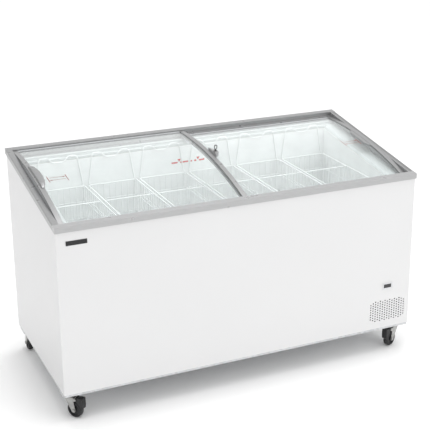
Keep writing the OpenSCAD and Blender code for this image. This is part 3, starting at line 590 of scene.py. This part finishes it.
def back_loop(bm):
    """Hanging loop with rounded shoulders and a finger dip in the middle of its top."""
    top_z, ledge_y, face_y = 0.8380, 0.2795, 0.2742
    half = [
        (0.098, BACK_Y + 0.0035, 0.640),
        (0.098, BACK_Y + 0.0035, 0.7085),
        (0.097, face_y, 0.722),
        (0.081, face_y, 0.826),
        (0.075, ledge_y, top_z),
        (0.044, ledge_y, top_z),
        (0.034, face_y, 0.829),
        (0.022, face_y, 0.816),
    ]
    corners = [(-x, y, z) for x, y, z in half] + half[::-1]
    sweep(bm, rounded(corners, 0.014, 5), LOOP_R)


def front_hook(bm, x):
    """Narrow wire hook over the front ledge."""
    face_y, ledge_y, top_z, low_z = -0.2727, -0.2825, 0.7425, 0.655
    left, right = x - 0.007, x + 0.007
    corners = [
        (left, face_y, low_z),
        (left, face_y, top_z),
        (left, ledge_y, top_z),
        (right, ledge_y, top_z),
        (right, face_y, top_z),
        (right, face_y, low_z),
    ]
    sweep(bm, rounded(corners, 0.004), THIN_R)


def basket(index):
    """One hanging basket: rim, bands, mesh, divider, back loop and front hooks."""
    low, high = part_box(f"basket_{index}")
    bm = bmesh.new()
    frame_corners = [
        (-SIDE_X, FRONT_Y), (SIDE_X, FRONT_Y), (SIDE_X, BACK_Y), (-SIDE_X, BACK_Y)
    ]
    for z, radius in ((RIM_Z, RIM_R), *((z, BAND_R) for z in BAND_Z)):
        sweep(bm, rounded([(x, y, z) for x, y in frame_corners], 0.012, closed=True),
              radius, closed=True)
    for y in evenly(FRONT_Y, BACK_Y, MESH_PITCH):
        u_wire(bm, (-SIDE_X + WIRE_INSET, y), (SIDE_X - WIRE_INSET, y), FLOOR_Z, RIM_Z)
    for x in evenly(-SIDE_X, SIDE_X, MESH_PITCH):
        u_wire(bm, (x, FRONT_Y + WIRE_INSET), (x, BACK_Y - WIRE_INSET),
               FLOOR_Z + 2 * THIN_R, RIM_Z)
        foot = Vector((x + DIVIDER_SHIFT, DIVIDER_Y, FLOOR_Z + 0.004))
        sweep(bm, [foot, Vector((foot.x, foot.y, RIM_Z))], THIN_R, 6)
    for z, radius in ((RIM_Z - 0.001, RIM_R), (DIVIDER_LOW_Z, THIN_R)):
        sweep(bm, [Vector((-SIDE_X, DIVIDER_Y, z)), Vector((SIDE_X, DIVIDER_Y, z))], radius)
    back_loop(bm)
    for x in (-HOOK_X, HOOK_X):
        front_hook(bm, x)
    bmesh.ops.translate(bm, verts=bm.verts, vec=((low.x + high.x) / 2, 0, 0))
    piece = to_object(bm, f"wire_basket_{index}", looks["wire_white"],
                      f"basket_body_{index}", 60)
    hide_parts(f"basket_{index}")


for number in range(1, BASKETS + 1):
    basket(number)

# ---------- printed marks ----------


INK = 0.0002


def plate(bm, outline, place):
    """A thin printed patch: the outline set down by place(a, b, height)."""
    low = [bm.verts.new(place(a, b, 0)) for a, b in outline]
    top = [bm.verts.new(place(a, b, INK)) for a, b in outline]
    bm.faces.new(low)
    bm.faces.new(top)
    for k in range(len(low)):
        m = (k + 1) % len(low)
        bm.faces.new((low[k], low[m], top[m], top[k]))


def arrow(x0, x1, y):
    """Outline of a thin arrow from x0 to its tip at x1."""
    head, half, stem = 0.009, 0.0042, 0.0009
    neck = x1 - math.copysign(head, x1 - x0)
    return [(x0, y - stem), (neck, y - stem), (neck, y - half), (x1, y),
            (neck, y + half), (neck, y + stem), (x0, y + stem)]


def bar(x0, x1, y0, y1):
    """Outline of a plain rectangle."""
    return [(x0, y0), (x1, y0), (x1, y1), (x0, y1)]


def slide_mark(name, x, v, radius, body):
    """Two opposed thin arrows between end bars, showing which way the lid slides."""
    tail, tip, apart = 0.030, 0.032, 0.010
    end_in, end_out, end_half = 0.0345, 0.0371, 0.026
    bm = bmesh.new()

    def place(a, b, height):
        return on_arc(x + a, v + b, radius + INK + height)

    for s in (1, -1):
        plate(bm, arrow(-s * tail, s * tip, s * apart), place)
    for s in (-1, 1):
        plate(bm, bar(s * end_in, s * end_out, -end_half, end_half), place)
    to_object(bm, name, mark_brown, body, 20)


MARK_X = 0.640
MARK_V = 0.340
slide_mark("slide_mark_upper", -MARK_X, MARK_V, UPPER_R, "upper_lid")
slide_mark("slide_mark_lower", MARK_X, MARK_V, LOWER_R, "lower_lid")


def load_line():
    """Fill limit on the tank's back wall: a broken rule with two pointers over it."""
    bm = bmesh.new()
    x0, x1, z = -0.065, 0.087, 0.749
    length = x1 - x0
    dashes = ((0.0, 0.18), (0.26, 0.50), (0.56, 0.62), (0.68, 0.75), (0.83, 1.0))
    pointers = (0.23, 0.80)
    half_rule = 0.0034
    pointer_half, pointer_top, pointer_tip = 0.008, z + 0.015, z + 0.002

    def place(a, b, height):
        return Vector((a, LINER_BACK - INK / 2 - height, b))

    for start, end in dashes:
        left, right = x0 + start * length, x0 + end * length
        plate(bm, bar(left, right, z - half_rule, z + half_rule), place)
    for share in pointers:
        x = x0 + share * length
        corners = [
            (x - pointer_half, pointer_top), (x + pointer_half, pointer_top), (x, pointer_tip)
        ]
        plate(bm, corners, place)
    to_object(bm, "load_line", mark_red, "cabinet", 20)


load_line()

# ---------- floor, light and camera ----------


FLOOR_HALF = 60
FLOOR_DROP = 0.0005


def floor():
    """Plain pale floor just under the wheels."""
    bm = bmesh.new()
    bmesh.ops.create_grid(bm, x_segments=4, y_segments=4, size=FLOOR_HALF)
    mesh = bpy.data.meshes.new("studio_floor")
    bm.to_mesh(mesh)
    bm.free()
    look = Look("studio_floor_look")
    look.colour(look.noise(0.6, 2.0), (0.975, 0.975, 0.975), (0.985, 0.985, 0.985))
    look.set(Roughness=0.9, Specular_IOR_Level=0.1)
    mesh.materials.append(look.material)
    obj = bpy.data.objects.new("studio_floor", mesh)
    bpy.context.scene.collection.objects.link(obj)
    obj.location = (0, 0, -FLOOR_DROP)


def soft_light(name, place, aim, size, power):
    """A square soft box at place, turned to aim."""
    data = bpy.data.lights.new(name, "AREA")
    data.shape = "SQUARE"
    data.size = size
    data.energy = power
    lamp = bpy.data.objects.new(name, data)
    bpy.context.scene.collection.objects.link(lamp)
    lamp.location = place
    lamp.rotation_euler = (Vector(aim) - Vector(place)).to_track_quat("-Z", "Y").to_euler()


BACKDROP = 1.03
SKY_BASE = 1.03
# Axis of the direction, where the change starts, where it is full, and how much it adds
SKY_SHAPE = (("X", 0.0, -1.0, -0.42), ("Y", 0.1, 0.8, -0.16), ("Z", 0.80, 0.97, 0.75))


def sky_light(tree):
    """Strength of the studio's walls: dimmer on the left and behind, bright overhead."""

    def node(kind, operation=None):
        made = tree.nodes.new(kind)
        if operation:
            made.operation = operation
        return made

    axes = node("ShaderNodeSeparateXYZ")
    tree.links.new(node("ShaderNodeTexCoord").outputs["Generated"], axes.inputs[0])
    total = None
    for axis, start, end, change in SKY_SHAPE:
        part = node("ShaderNodeMapRange")
        part.inputs["From Min"].default_value = start
        part.inputs["From Max"].default_value = end
        part.inputs["To Max"].default_value = change
        tree.links.new(axes.outputs[axis], part.inputs["Value"])
        add = node("ShaderNodeMath", "ADD")
        tree.links.new(part.outputs[0], add.inputs[0])
        if total:
            tree.links.new(total, add.inputs[1])
        else:
            add.inputs[1].default_value = SKY_BASE
        total = add.outputs[0]
    return total


def studio():
    """White cyclorama to the eye, shaped soft light on the object."""
    world = bpy.data.worlds.new("studio")
    bpy.context.scene.world = world
    world.use_nodes = True
    tree = world.node_tree
    lit = tree.nodes["Background"]
    tree.links.new(sky_light(tree), lit.inputs["Strength"])
    seen = tree.nodes.new("ShaderNodeBackground")
    for part in (lit, seen):
        part.inputs["Color"].default_value = (1, 1, 1, 1)
    seen.inputs["Strength"].default_value = BACKDROP
    mix = tree.nodes.new("ShaderNodeMixShader")
    ray = tree.nodes.new("ShaderNodeLightPath")
    tree.links.new(ray.outputs["Is Camera Ray"], mix.inputs[0])
    tree.links.new(lit.outputs[0], mix.inputs[1])
    tree.links.new(seen.outputs[0], mix.inputs[2])
    tree.links.new(mix.outputs[0], tree.nodes["World Output"].inputs["Surface"])
    soft_light("top_soft", (0.2, 0.1, 3.2), aim=(0, 0, 0.8), size=2.4, power=34)
    soft_light("front_soft", (2.6, -4.2, 2.8), aim=(0, 0, 0.5), size=2.6, power=26)
    bpy.context.scene.view_settings.view_transform = "Standard"
    bpy.context.scene.view_settings.look = "None"


CAMERA_PLACE = (-1.640, -3.759, 2.076)
CAMERA_PITCH = 18.68
CAMERA_YAW = 24.96
CAMERA_LENS = 89.2
CAMERA_SHIFT = -0.05


def camera():
    """View from the front left and above, its tilt in degrees below level."""
    data = bpy.data.cameras.new("camera")
    data.sensor_width = 36
    data.lens = CAMERA_LENS
    data.shift_x = CAMERA_SHIFT
    data.shift_y = CAMERA_SHIFT
    obj = bpy.data.objects.new("camera", data)
    bpy.context.scene.collection.objects.link(obj)
    obj.location = CAMERA_PLACE
    obj.rotation_euler = (math.radians(90 - CAMERA_PITCH), 0, math.radians(-CAMERA_YAW))
    bpy.context.scene.camera = obj


floor()
studio()
camera()
